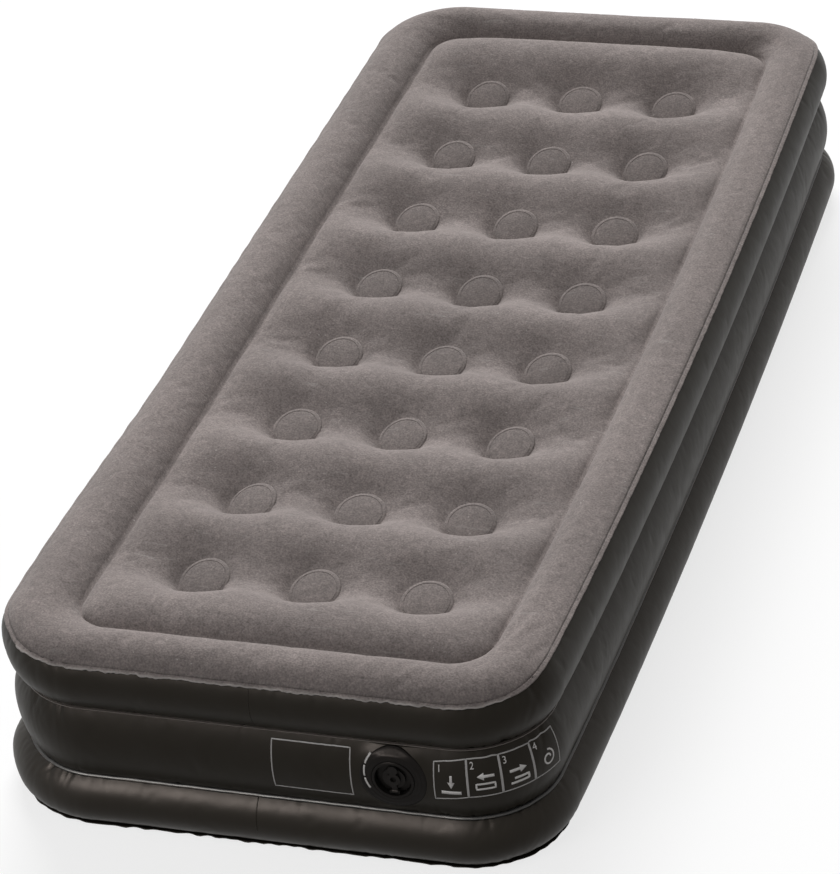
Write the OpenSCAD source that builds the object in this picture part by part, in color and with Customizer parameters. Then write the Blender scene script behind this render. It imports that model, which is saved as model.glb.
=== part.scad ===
// Raised single air bed: a flocked tufted top, three drawn-in side tiers, inner film ties and a screw-in valve.
// Millimetres. X runs across the bed, Y along it with the valve at the -Y end, and Z up from the floor.

/* [Bed] */
// Length of the outer edge
bed_l = 2000; // [1700:10:2300]
// Width of the outer edge
bed_w = 816; // [720:4:1100]
// Plan radius of the outer corners
corner_r = 140; // [115:5:180]
// Thickness of every film
film_t = 1; // [0.6:0.1:1.6]

/* [Side tiers] */
// Height of the lower waist seam
low_waist_z = 81; // [68:1:92]
// Height of the upper waist seam
high_waist_z = 196; // [186:1:210]
// Height of the flock seam, where the top meets the side
flock_z = 276; // [265:1:290]
// How far the foot of the lower tier lies inside the outer edge
foot_in = 23; // [16:1:30]
// How far the lower waist lies inside the outer edge
low_waist_in = 24; // [18:1:32]
// How far the upper waist lies inside the outer edge
high_waist_in = 27; // [20:1:34]
// How far the flock seam lies inside the outer edge
flock_in = 18; // [12:1:24]
// Swell of the lower tier past its chord
low_bulge = 25; // [12:1:30]
// Swell of the middle tier past its chord
mid_bulge = 17; // [10:1:26]
// Width of the weld fins on the waist and flock seams
fin_w = 5; // [3:0.5:8]
// Width of the weld fin at the floor
floor_fin_w = 9; // [5:1:14]
// Width of a weld inside a seam
weld_w = 8; // [5:1:10]

/* [Top] */
// How far the groove lies inside the outer edge
groove_in = 106; // [95:1:125]
// Plan radius of the groove's corners
groove_r = 60; // [50:5:110]
// Height of the groove
groove_z = 276; // [266:1:285]
// Rows of tufts along the bed
tuft_rows = 8; // [5:1:10]
// Tufts in each row
tuft_cols = 3; // [2:1:3]
// Room between the groove and the outer tufts' cells, across the bed
cell_gap_x = 55; // [40:1:64]
// Room between the groove and the outer tufts' cells, along the bed
cell_gap_y = 64; // [40:1:80]
// Radius of a tuft
tuft_r = 32; // [28:1:42]
// Height of a tuft
tuft_z = 246; // [236:1:256]
// Crest of the rolls between the rows
roll_z = 300; // [290:1:310]
// Height of the saddles between the tufts of a row
saddle_z = 282; // [272:1:292]
// Height of the panel's shoulder beside the groove
shoulder_z = 294; // [284:1:304]
// Radius of the swell about a tuft
swell_r = 60; // [54:1:70]
// Share of the rise that the swell about a tuft has made
swell_rise = 0.72; // [0.6:0.02:0.8]

/* [Base and ties] */
// How far the film tubes under the tufts lie inside the tufts' edges
coil_in = 5; // [4:1:10]
// Height of the dents where the tubes meet the base
dent_h = 6; // [3:1:12]
// Width of the slope round each dent
dent_slope = 18; // [10:1:24]
// Radius of the air holes in the tubes and rings
vent_r = 12; // [6:1:16]
// Air holes along each long side of the beam and the rings
side_vents = 6; // [3:1:8]
// Air holes along each end of the beam and the rings
end_vents = 2; // [1:1:3]
// Room between a film's edge and the film that it is welded to
weld_gap = 0.1; // [0.05:0.05:0.3]

/* [Valve] */
// Distance of the valve from where the corner starts to turn
valve_corner = 81; // [50:1:200]
// Height of the valve above the middle of the middle tier
valve_lift = 7; // [-7:1:8]
// Radius of the weld flange
flange_r = 48; // [40:1:48]
// Radius of the recess in the socket
recess_r = 26; // [25.5:0.5:28]
// Depth of the recess
recess_d = 12; // [11:0.5:15]
// Width of the socket's rim round the recess
rim_w = 4; // [3:0.5:6]
// How far the socket's rim stands proud of the tier
rim_proud = 1.5; // [1:0.5:5]
// Thickness of the recess's floor
shelf_t = 4; // [3:0.5:6]
// Length of the socket's neck behind the recess's floor
neck_l = 18; // [14:1:24]
// Wall of the socket's neck
neck_wall = 3.5; // [2:0.5:5]
// Radius of the inflation bore
bore_r = 10; // [8:0.5:11]
// Length of the inflation bore
bore_l = 15; // [10:1:18]
// Width of the seat in front of the bore, which takes the cap's skirt
seat_w = 3; // [2:0.5:4]
// Depth of that seat
seat_d = 3; // [2:0.5:4]
// Wall of the screw-in mouth round that seat
shank_wall = 6; // [5:0.5:7]
// Step from the bore in to the throat behind it
throat_step = 1.5; // [1:0.5:3]
// Length of the throat
throat_l = 4; // [2:1:6]
// Room round the mouth's gripped rim
grip_room = 1.5; // [1:0.25:2.5]
// Thickness of the gripped rim
grip_t = 2.6; // [2:0.2:3]
// Scallops round the gripped rim
scallops = 20; // [12:1:28]
// Thickness of the seal under the gripped rim
seal_t = 1; // [0.6:0.2:2]
// How far the flap laps past the throat
flap_lap = 4.5; // [3:0.5:5]
// Thickness of the flap
flap_t = 1.2; // [0.8:0.2:2]
// How far the flap can lift
flap_lift = 4; // [2:0.5:5]
// Thickness of the cage's bars
cage_bar = 2; // [1:0.5:3]
// Room between parts that move
play = 0.3; // [0.2:0.05:0.4]

/* [Cap] */
// How far the cap's disc laps past the seat
cap_lap = 3; // [2:0.5:4]
// Thickness of the cap's disc
cap_t = 2.7; // [2:0.1:3]
// Room round the cap's skirt in its seat
skirt_room = 0.8; // [0.6:0.1:1.5]
// Height of the tab and knob above the disc
knob_h = 3.5; // [2.5:0.5:4]
// Radius of the knob
knob_r = 9.5; // [8:0.5:11]
// Radius of the hollow in the knob
hollow_r = 4.5; // [3:0.5:5.5]
// Width of the tab's bar and of the strap
bar_w = 8; // [6:0.5:9]
// Radius of the tab's round end
tab_r = 7; // [5:0.5:8]
// Distance of the tab's round end from the cap's middle
tab_reach = 15; // [12:0.5:16]
// How far the cap's hinge lies inside the edge of the gripped rim
hinge_in = 3; // [2.5:0.25:3.5]
// Radius of the hinge pin
pin_r = 1.2; // [0.8:0.1:1.4]
// Radius of the eye on the strap
eye_r = 3; // [2.4:0.1:3]

/* [Hidden] */
$fn = 96;
// Corner centres and radius of the outer edge and of the groove
edge = [bed_w / 2 - corner_r, bed_l / 2 - corner_r, corner_r];
groove = [bed_w / 2 - groove_in - groove_r, bed_l / 2 - groove_in - groove_r, groove_r];
// Half size of the grid of tuft cells, and a cell's size
grid = [bed_w / 2 - groove_in - cell_gap_x, bed_l / 2 - groove_in - cell_gap_y];
cell = [2 * grid.x / tuft_cols, 2 * grid.y / tuft_rows];
// Ends of each tier's film, as distance from the outer edge and height
low_foot = [-foot_in, film_t];
low_head = [-low_waist_in, low_waist_z - film_t / 2];
mid_foot = [-low_waist_in, low_waist_z + film_t / 2];
mid_head = [-high_waist_in, high_waist_z - film_t / 2];
high_foot = [-high_waist_in, high_waist_z + film_t / 2];
flock_edge = [-flock_in, flock_z];
groove_line = [-groove_in, groove_z];
// Circle of each tier, as centre and radius
low_circle = bulge_circle(low_foot, low_head, low_bulge);
mid_circle = bulge_circle(mid_foot, mid_head, mid_bulge);
border_circle = circle_through(high_foot, flock_edge, groove_line);
// Radius of the film tubes under the tufts
coil_r = tuft_r - coil_in;
// Points on the top film: segments in a corner, along an end, along a side and over the border
corner_n = 4;
end_n = 1;
side_n = 2;
border_n = 4;
// How far a cut runs past the face that it opens
over = 1;
// Valve: depths are counted inwards from the socket's rim
valve_x = edge.x - valve_corner;
valve_z = (low_waist_z + high_waist_z) / 2 + valve_lift;
valve_out = bed_l / 2 + mid_circle[0].x + mid_circle[1] + rim_proud;
socket_r = recess_r + rim_w;
rim_round = 1.5;
seat_r = bore_r + seat_w;
shank_r = seat_r + shank_wall;
neck_in = shank_r + play;
grip_r = recess_r - grip_room;
scallop_r = 1.4;
seal_wall = 2;
seal_clear = 0.2;
seal_r = (shank_r + grip_r + seal_wall) / 2;
grip_back = recess_d - seal_t - 2 * seal_clear;
grip_front = grip_back - grip_t;
throat_r = bore_r - throat_step;
bore_front = grip_front + seat_d;
throat_front = bore_front + bore_l;
mouth_back = throat_front + throat_l;
flap_r = throat_r + flap_lap;
cage_l = play + flap_t + flap_lift + play;
cage_in = 0.5;
cage_r = shank_r - cage_in;
cage_wall = 3;
cage_bar_w = 4;
// Cap: its disc lies in front of the grip, and its hinge over the grip's lower edge
cap_r = seat_r + cap_lap;
cap_back = grip_front - play;
cap_front = cap_back - cap_t;
skirt_r = seat_r - skirt_room;
skirt_foot = 0.5;
skirt_l = seat_d - skirt_foot;
skirt_wall = 2;
hinge_reach = grip_r - hinge_in;
hinge_depth = cap_back - eye_r;
strap_t = 2;
strap_lap = 3;
bar_foot = cap_r - strap_lap;
ear_w = 2.7;
ear_reach = 2.5;

function coil_name(r, c) = str("coil_beam_", r, "_", c);

// Circle through a tier's two ends that swells past their chord
function bulge_circle(foot, head, bulge) =
    let (
        chord = head - foot,
        span = norm(chord),
        radius = (span * span / 4 + bulge * bulge) / (2 * bulge),
        out = [chord.y, -chord.x] / span
    )
    [(foot + head) / 2 - out * (radius - bulge), radius];

// Circle through three points
function circle_through(a, b, c) =
    let (
        u = b - a,
        v = c - a,
        d = 2 * (u.x * v.y - u.y * v.x),
        off = [v.y * (u * u) - u.y * (v * v), u.x * (v * v) - v.x * (u * u)] / d
    )
    [a + off, norm(off)];

// Sweeps a profile of distance and height along a straight run, and round a corner
module run_sweep(centre, along, radius) {
    translate([centre + radius, along, 0]) rotate([90, 0, 0]) linear_extrude(2 * along) children();
}

module corner_sweep(path, first) {
    rotate_extrude(angle = 90, start = first) translate([path.z, 0]) children();
}

// Sweeps a profile all round the bed, starting with the foot end
module end_sweep(path) {
    rotate(-90) run_sweep(path.y, path.x, path.z) children();
}

module around(path) {
    for (turn = [0, 180]) rotate(turn) {
        end_sweep(path) children();
        run_sweep(path.x, path.y, path.z) children();
        translate([path.x, path.y, 0]) corner_sweep(path, 0) children();
        translate([path.x, -path.y, 0]) corner_sweep(path, -90) children();
    }
}

// Area inside a path, grown by a distance
module inside(path, grow) {
    r = path.z + grow;
    square([2 * path.x + 2 * r, 2 * path.y], center = true);
    square([2 * path.x, 2 * path.y + 2 * r], center = true);
    for (x = [-1, 1]) for (y = [-1, 1]) translate([x * path.x, y * path.y]) circle(r);
}

// Film along a tier's circle, between two heights
module film_arc(ring, low, high, grow = 0) {
    intersection() {
        difference() {
            translate(ring[0]) circle(ring[1] + grow);
            translate(ring[0]) circle(ring[1] + grow - film_t);
        }
        translate([ring[0].x, low]) square([ring[1] + grow + film_t, high - low]);
    }
}

// Flat weld strip from inside a seam to the edge of its fin
module seam_strip(end, low, fin) {
    translate([end.x - weld_w, low]) square([weld_w + fin, film_t]);
}

module tier_profile(ring, foot, head, foot_fin, head_fin) {
    film_arc(ring, foot.y, head.y);
    seam_strip(foot, foot.y, foot_fin);
    seam_strip(head, head.y - film_t, head_fin);
}

// Places children at the air holes along the sides, and then along the ends
module at_side_vents() {
    for (n = [1 : side_vents]) translate([0, (2 * n - side_vents - 1) / side_vents * groove.y, 0]) children();
}

module at_end_vents() {
    for (n = [1 : end_vents]) translate([(2 * n - end_vents - 1) / end_vents * groove.x, 0, 0]) children();
}

// Places children under each tuft
module at_tuft(r, c) {
    translate([(2 * c - tuft_cols - 1) / 2 * cell.x, (2 * r - tuft_rows - 1) / 2 * cell.y, 0]) children();
}

// Turns the valve's own axis, which points out of the bed, to the foot end
module at_valve() {
    translate([valve_x, -valve_out, valve_z]) rotate([90, 0, 0]) children();
}

// Top film: a grid of half cells, two rings about each tuft, and rings over the border
grid_nx = 2 * tuft_cols;
grid_ny = 2 * tuft_rows;
tufts = [for (r = [0 : tuft_rows - 1]) for (c = [0 : tuft_cols - 1]) [2 * c + 1, 2 * r + 1]];
step = [[1, 0], [1, 1], [0, 1], [-1, 1], [-1, 0], [-1, -1], [0, -1], [1, -1]];
spokes = len(step);

function grid_index(p) = p.y * (grid_nx + 1) + p.x;
function grid_xy(p) = [(2 * p.x / grid_nx - 1) * grid.x, (2 * p.y / grid_ny - 1) * grid.y];
function on_rim(p) = p.x == 0 || p.x == grid_nx || p.y == 0 || p.y == grid_ny;
function grid_z(p) = on_rim(p) ? shoulder_z : p.y % 2 == 0 ? roll_z : p.x % 2 == 0 ? saddle_z : tuft_z;
function spoke_xy(t, k, r) = grid_xy(t) + r * [cos(360 * k / spokes), sin(360 * k / spokes)];
function swell_z(t, k) = tuft_z + (grid_z(t + step[k]) - tuft_z) * swell_rise;

// Stations round the border: corner, share of the run, and whether it lies on the run after the corner
function run_n(k) = k % 2 == 0 ? end_n : side_n;
stations = [
    for (k = [0 : 3]) each concat(
        [for (n = [0 : corner_n]) [k, n / corner_n, false]],
        [for (n = [1 : run_n(k) - 1]) [k, n / run_n(k), true]]
    )
];
function first_station(k) = k == 0 ? 0 : first_station(k - 1) + corner_n + run_n(k - 1);

function station_xy(path, grow, s) =
    let (
        k = s.x,
        r = path.z + grow,
        a = 180 + 90 * (k + s.y),
        along = 2 * s.y - 1
    )
    !s.z ? [(k % 3 == 0 ? -1 : 1) * path.x + r * cos(a), (k < 2 ? -1 : 1) * path.y + r * sin(a)]
    : k == 0 ? [path.x * along, -path.y - r]
    : k == 1 ? [path.x + r, path.y * along]
    : k == 2 ? [-path.x * along, path.y + r]
    : [-path.x - r, -path.y * along];

// Border rings as share of the way to the groove and height, on the outer or inner face of the film
border_w = groove_in - flock_in;
function border_angle(p) = atan2(p.y - border_circle[0].y, p.x - border_circle[0].x);
function border_point(n, depth) =
    let (
        a0 = border_angle(flock_edge),
        a1 = border_angle(groove_line),
        a = a0 + (a1 - a0) * n / border_n,
        p = border_circle[0] + (border_circle[1] - depth) * [cos(a), sin(a)]
    )
    [(-flock_in - p.x) / border_w, p.y];
function border_rings(depth) = concat(
    [[-fin_w / border_w, flock_z + film_t - depth], [depth / border_w, flock_z + film_t - depth]],
    [for (n = [1 : border_n - 1]) border_point(n, depth)],
    [[1, groove_z - depth]]
);

function film_points(depth) = concat(
    [for (j = [0 : grid_ny]) for (i = [0 : grid_nx]) [each grid_xy([i, j]), grid_z([i, j]) - depth]],
    [for (t = tufts) for (k = [0 : spokes - 1]) [each spoke_xy(t, k, tuft_r), tuft_z - depth]],
    [for (t = tufts) for (k = [0 : spokes - 1]) [each spoke_xy(t, k, swell_r), swell_z(t, k) - depth]],
    [
        for (ring = border_rings(depth)) for (s = stations)
            let (a = station_xy(edge, -flock_in, s), b = station_xy(groove, 0, s))
            [each a + (b - a) * ring.x, ring.y]
    ]
);

// Triangles, anticlockwise from above, between two closed loops and between two open runs
function loop_strip(inner, outer) =
    let (n = len(inner))
    [
        for (k = [0 : n - 1])
            let (m = (k + 1) % n)
            each [[inner[k], outer[k], outer[m]], [inner[k], outer[m], inner[m]]]
    ];
function run_strip(inner, outer, i = 0, j = 0) =
    let (a = len(inner) - 1, b = len(outer) - 1)
    i == a && j == b ? []
    : j < b && (i == a || (j + 1) * a <= (i + 1) * b)
        ? concat([[inner[i], outer[j], outer[j + 1]]], run_strip(inner, outer, i, j + 1))
        : concat([[inner[i], outer[j], inner[i + 1]]], run_strip(inner, outer, i + 1, j));

disc_first = (grid_nx + 1) * (grid_ny + 1);
swell_first = disc_first + spokes * len(tufts);
ring_first = swell_first + spokes * len(tufts);
ring_last = border_n + 1;
film_count = ring_first + (ring_last + 1) * len(stations);
function spoke_loop(first, t) = [for (k = [0 : spokes - 1]) first + spokes * t + k];
function border_loop(n) = [for (s = [0 : len(stations) - 1]) ring_first + n * len(stations) + s];
function rim_corner(k) = [k == 1 || k == 2 ? grid_nx : 0, k < 2 ? 0 : grid_ny];
function rim_run(k) =
    let (a = rim_corner(k), b = rim_corner((k + 1) % 4), n = k % 2 == 0 ? grid_nx : grid_ny)
    [for (m = [0 : n]) grid_index(a + (b - a) * m / n)];
function groove_at(n) = border_loop(ring_last)[n % len(stations)];
film_faces = concat(
    [
        for (t = [0 : len(tufts) - 1])
            let (
                disc = spoke_loop(disc_first, t),
                swell = spoke_loop(swell_first, t),
                rim = [for (d = step) grid_index(tufts[t] + d)]
            )
            each concat(
                [for (k = [1 : spokes - 2]) [disc[0], disc[k], disc[k + 1]]],
                loop_strip(disc, swell),
                loop_strip(swell, rim)
            )
    ],
    [
        for (k = [0 : 3])
            let (c = first_station(k), e = c + corner_n)
            each concat(
                [for (n = [0 : corner_n - 1]) [rim_run(k)[0], groove_at(c + n), groove_at(c + n + 1)]],
                run_strip(rim_run(k), [for (n = [0 : run_n(k)]) groove_at(e + n)])
            )
    ],
    [for (n = [0 : ring_last - 1]) each loop_strip(border_loop(n + 1), border_loop(n))]
);

module top_sheet() {
    lip = border_loop(0);
    n = len(lip);
    color([0.42, 0.39, 0.38])
        polyhedron(
            points = concat(film_points(0), film_points(film_t)),
            faces = concat(
                [for (f = film_faces) [f[2], f[1], f[0]]],
                [for (f = film_faces) [for (p = f) p + film_count]],
                [
                    for (k = [0 : n - 1])
                        let (a = lip[k], b = lip[(k + 1) % n])
                        each [[a, b, b + film_count], [a, b + film_count, a + film_count]]
                ]
            ),
            convexity = 10
        );
}

module upper_band() {
    color([0.19, 0.18, 0.16])
        around(edge) tier_profile(border_circle, high_foot, flock_edge, fin_w, fin_w);
}

module middle_band() {
    color([0.14, 0.13, 0.11])
        difference() {
            around(edge) tier_profile(mid_circle, mid_foot, mid_head, fin_w, fin_w);
            at_valve() translate([0, 0, -socket_r * 2]) cylinder(r = socket_r + weld_gap, h = socket_r * 4);
        }
}

module lower_band() {
    color([0.16, 0.15, 0.13])
        around(edge) tier_profile(low_circle, low_foot, low_head, floor_fin_w, fin_w);
}

module base_sheet() {
    dent_r = tuft_r + dent_slope;
    color([0.15, 0.14, 0.12]) {
        linear_extrude(film_t)
            difference() {
                inside(edge, floor_fin_w - foot_in);
                for (r = [1 : tuft_rows]) for (c = [1 : tuft_cols]) at_tuft(r, c) circle(dent_r);
            }
        for (r = [1 : tuft_rows]) for (c = [1 : tuft_cols]) at_tuft(r, c)
            rotate_extrude()
                polygon([
                    [0, dent_h], [tuft_r, dent_h], [dent_r, 0],
                    [dent_r, film_t], [tuft_r, dent_h + film_t], [0, dent_h + film_t]
                ]);
    }
}

module perimeter_beam() {
    mid_z = (film_t + groove_z) / 2;
    color([0.5, 0.5, 0.5])
        difference() {
            around(groove) {
                translate([-film_t / 2, film_t]) square([film_t, groove_z - 2 * film_t]);
                translate([-film_t / 2, film_t]) square([weld_w, film_t]);
            }
            at_side_vents() translate([0, 0, mid_z]) rotate([0, 90, 0]) cylinder(r = vent_r, h = bed_w, center = true);
            at_end_vents() translate([0, 0, mid_z]) rotate([90, 0, 0]) cylinder(r = vent_r, h = bed_l, center = true);
        }
}

module waist_web(z, inset) {
    vent_in = (inset + groove_in) / 2;
    translate([0, 0, z - film_t / 2])
        linear_extrude(film_t)
            difference() {
                inside(edge, fin_w - inset);
                inside(groove, film_t / 2 + weld_gap);
                for (x = [-1, 1]) at_side_vents() translate([x * (bed_w / 2 - vent_in), 0]) circle(vent_r);
                for (y = [-1, 1]) at_end_vents() translate([0, y * (bed_l / 2 - vent_in)]) circle(vent_r);
            }
}

module upper_web() {
    color([0.5, 0.5, 0.5]) waist_web(high_waist_z, high_waist_in);
}

module lower_web() {
    color([0.5, 0.5, 0.5]) waist_web(low_waist_z, low_waist_in);
}

module coil_beam() {
    low = dent_h + film_t;
    high = tuft_z - film_t;
    color([0.55, 0.55, 0.55])
        difference() {
            rotate_extrude() {
                translate([coil_r - film_t, low]) square([film_t, high - low]);
                for (z = [low, high - film_t]) translate([coil_r - weld_w, z]) square([weld_w, film_t]);
            }
            for (a = [0, 90])
                translate([0, 0, (low + high) / 2]) rotate([90, 0, a]) cylinder(r = vent_r, h = coil_r * 3, center = true);
        }
}

module valve_flange() {
    color([0.13, 0.12, 0.11])
        intersection() {
            end_sweep(edge) film_arc(mid_circle, mid_foot.y, mid_head.y, film_t);
            at_valve() difference() {
                translate([0, 0, -flange_r]) cylinder(r = flange_r, h = flange_r * 2);
                translate([0, 0, -flange_r * 2]) cylinder(r = socket_r + weld_gap, h = flange_r * 4);
            }
        }
}

module valve_socket() {
    floor_back = recess_d + shelf_t;
    color([0.08, 0.08, 0.08])
        at_valve() rotate_extrude()
            difference() {
                union() {
                    translate([0, -floor_back]) square([socket_r - rim_round, floor_back]);
                    translate([0, -floor_back]) square([socket_r, floor_back - rim_round]);
                    translate([socket_r - rim_round, -rim_round]) circle(rim_round);
                    translate([0, -floor_back - neck_l]) square([neck_in + neck_wall, neck_l]);
                }
                translate([0, -recess_d]) square([recess_r, recess_d + over]);
                translate([0, -floor_back - neck_l - over]) square([neck_in, floor_back + neck_l]);
            }
}

module mouth_seal() {
    color([0.3, 0.3, 0.3])
        at_valve() translate([0, 0, -grip_back - seal_clear - seal_t])
            difference() {
                cylinder(r = seal_r + seal_wall / 2, h = seal_t);
                translate([0, 0, -over]) cylinder(r = seal_r - seal_wall / 2, h = seal_t + 2 * over);
            }
}

module grip_scallops() {
    for (n = [0 : scallops - 1])
        rotate(360 * (n + 0.5) / scallops)
            translate([grip_r + scallop_r / 3, 0, -grip_back - over])
                cylinder(r = scallop_r, h = grip_t + 2 * over, $fn = 24);
}

// Ears on the gripped rim, and the pin between them
module cap_hinge() {
    ear_in = bar_w / 2 + play;
    for (side = [-1, 1])
        translate([side * (ear_in + ear_w / 2), -hinge_reach, -(grip_front + hinge_depth - ear_reach) / 2])
            cube([ear_w, 2 * ear_reach, grip_front - hinge_depth + ear_reach], center = true);
    translate([0, -hinge_reach, -hinge_depth]) rotate([0, 90, 0])
        cylinder(r = pin_r, h = 2 * ear_in, center = true);
}

module valve_mouth() {
    color([0.1, 0.1, 0.1])
        at_valve() {
            difference() {
                union() {
                    translate([0, 0, -mouth_back]) cylinder(r = shank_r, h = mouth_back - grip_front);
                    translate([0, 0, -grip_back]) cylinder(r = grip_r, h = grip_t);
                }
                translate([0, 0, -mouth_back - over]) cylinder(r = throat_r, h = mouth_back + over);
                translate([0, 0, -throat_front]) cylinder(r = bore_r, h = throat_front);
                translate([0, 0, -bore_front]) cylinder(r = seat_r, h = bore_front);
                grip_scallops();
            }
            cap_hinge();
        }
}

module flap_cage() {
    cage_h = cage_l + cage_bar;
    color([0.2, 0.2, 0.2])
        at_valve() translate([0, 0, -mouth_back - cage_h]) {
            difference() {
                cylinder(r = cage_r, h = cage_h);
                translate([0, 0, -over]) cylinder(r = cage_r - cage_wall, h = cage_h + 2 * over);
            }
            intersection() {
                cylinder(r = cage_r, h = cage_bar);
                for (a = [0, 90]) rotate(a)
                    translate([-cage_r, -cage_bar_w / 2, 0]) cube([2 * cage_r, cage_bar_w, cage_bar]);
            }
        }
}

module check_flap() {
    color([0.75, 0.75, 0.72])
        at_valve() translate([0, 0, -mouth_back - play - flap_t]) cylinder(r = flap_r, h = flap_t);
}

// Bar with a round tab at one end and a knob in the middle
module tab_outline() {
    circle(knob_r);
    translate([0, tab_reach]) circle(tab_r);
    translate([-bar_w / 2, -bar_foot]) square([bar_w, bar_foot + tab_reach]);
}

module valve_cap() {
    color([0.24, 0.23, 0.22])
        at_valve() difference() {
            union() {
                translate([0, 0, -cap_back]) cylinder(r = cap_r, h = cap_t);
                translate([0, 0, -cap_back - skirt_l]) cylinder(r = skirt_r, h = skirt_l);
                translate([0, 0, -cap_front]) linear_extrude(knob_h) tab_outline();
                translate([-bar_w / 2, -hinge_reach, -hinge_depth - strap_t / 2])
                    cube([bar_w, hinge_reach - bar_foot + strap_t, strap_t]);
                translate([0, -hinge_reach, -hinge_depth]) rotate([0, 90, 0])
                    cylinder(r = eye_r, h = bar_w, center = true);
            }
            translate([0, 0, -cap_back - skirt_l - over]) cylinder(r = skirt_r - skirt_wall, h = skirt_l + over);
            translate([0, 0, -cap_front]) cylinder(r = hollow_r, h = knob_h + over);
            translate([0, -hinge_reach, -hinge_depth]) rotate([0, 90, 0])
                cylinder(r = pin_r + play, h = bar_w + 2 * over, center = true);
        }
}

top_sheet();
upper_band();
middle_band();
lower_band();
base_sheet();
perimeter_beam();
upper_web();
lower_web();
for (r = [1 : tuft_rows]) for (c = [1 : tuft_cols])
    at_tuft(r, c) coil_beam();
valve_flange();
valve_socket();
mouth_seal();
valve_mouth();
flap_cage();
check_flap();
valve_cap();
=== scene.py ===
import math

import bmesh
import bpy
import numpy as np
from mathutils import Matrix, Vector
from mathutils.bvhtree import BVHTree


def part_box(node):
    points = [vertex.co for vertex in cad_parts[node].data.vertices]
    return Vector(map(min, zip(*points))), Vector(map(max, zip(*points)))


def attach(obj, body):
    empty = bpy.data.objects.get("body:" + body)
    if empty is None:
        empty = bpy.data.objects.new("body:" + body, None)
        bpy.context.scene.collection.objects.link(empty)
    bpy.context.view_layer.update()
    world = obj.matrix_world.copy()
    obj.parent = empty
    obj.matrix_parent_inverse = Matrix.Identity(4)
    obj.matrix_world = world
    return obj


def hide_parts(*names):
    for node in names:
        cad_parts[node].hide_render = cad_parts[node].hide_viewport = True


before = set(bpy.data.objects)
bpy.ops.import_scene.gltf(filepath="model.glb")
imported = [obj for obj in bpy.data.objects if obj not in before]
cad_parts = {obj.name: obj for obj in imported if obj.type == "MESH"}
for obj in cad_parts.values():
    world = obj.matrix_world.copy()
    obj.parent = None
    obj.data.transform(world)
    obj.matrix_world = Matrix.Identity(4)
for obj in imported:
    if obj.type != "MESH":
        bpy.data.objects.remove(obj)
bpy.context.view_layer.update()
scene = bpy.context.scene
print("frame loaded:", len(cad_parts), "nodes")


def addObject(name, data):
    thing = bpy.data.objects.new(name, data)
    scene.collection.objects.link(thing)
    return thing


# Camera at the photograph's place, in metres and degrees
cameraLook = {
    "azimuth": 20.31,
    "elevation": 32.81,
    "roll": -6.34,
    "distance": 5.50444,
    "aim": (0.00792, -0.25873, 0.2),
    "focalPixels": 3667.18,
    "framePixels": 874,
    "sensor": 36.0,
}


def makeCamera():
    azimuth, elevation, roll = (math.radians(cameraLook[k]) for k in ("azimuth", "elevation", "roll"))
    back = Vector((
        math.sin(azimuth) * math.cos(elevation),
        -math.cos(azimuth) * math.cos(elevation),
        math.sin(elevation),
    ))
    level = Vector((math.cos(azimuth), math.sin(azimuth), 0))
    upright = back.cross(level)
    right = level * math.cos(roll) + upright * math.sin(roll)
    up = upright * math.cos(roll) - level * math.sin(roll)
    camera = bpy.data.cameras.new("camera")
    camera.sensor_width = cameraLook["sensor"]
    camera.lens = cameraLook["focalPixels"] / cameraLook["framePixels"] * cameraLook["sensor"]
    camera.clip_end = 100
    holder = addObject("camera", camera)
    place = Matrix((right, up, back)).transposed().to_4x4()
    place.translation = Vector(cameraLook["aim"]) + back * cameraLook["distance"]
    holder.matrix_world = place
    scene.camera = holder


makeCamera()

# Outline of the bed: how the long sides draw in and bow, how the corners are pushed, and how the top sags
bed = {
    "halfWidth": 0.408,
    "halfLength": 1.0,
    "cornerRadius": 0.14,
    "film": 0.001,
    "midBulge": 0.017,
    "lowBulge": 0.025,
    "sideDraw": 0.008,
    "sideBow": 0.014,
    "edgeHold": 6,  # the higher, the closer a push keeps to the edges and corners
    "leftPush": 0.006,
    "leftFlare": 0.017,  # how far the left side stands out towards the foot end
    "flareStart": -0.2,
    "flareEnd": -0.78,
    "flareCut": 0.85,  # share of the flare that goes again before the corner
    "cutStart": -0.84,
    "cutLength": 0.1,
    "footRightDraw": 0.006,
    "footLeftPush": 0.02,  # at the floor, easing to nothing at pushTop
    "pushTop": 0.09,
    "headLeftPush": 0.006,
    "panelDrop": 0.0135,  # how far the tufted panel lies lower, except towards the foot end
    "dropAlong": (-0.95, 0.955),
    "dropEase": (0.55, 0.06),
    "dropAcross": 0.36,
    "dropSlope": 0.116,
    "sag": 0.015,  # at mid-length
    "sagTop": 0.276,
    "edgeTurn": 12.0,  # degrees that the flock edge lies higher up the border tube on the right side
}
groovePath = {"inset": 0.106, "radius": 0.06}
# Ends of each tier's film, as distance from the outer edge and height
lowFoot, lowHead = (-0.023, 0.001), (-0.024, 0.0805)
midFoot, midHead = (-0.024, 0.0815), (-0.027, 0.1955)
highFoot, flockEdge = (-0.027, 0.1965), (-0.018, 0.276)
grooveLine = (-groovePath["inset"], 0.276)


def easeIn(value):
    value = np.clip(value, 0, 1)
    return value * value * (3 - 2 * value)


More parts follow.
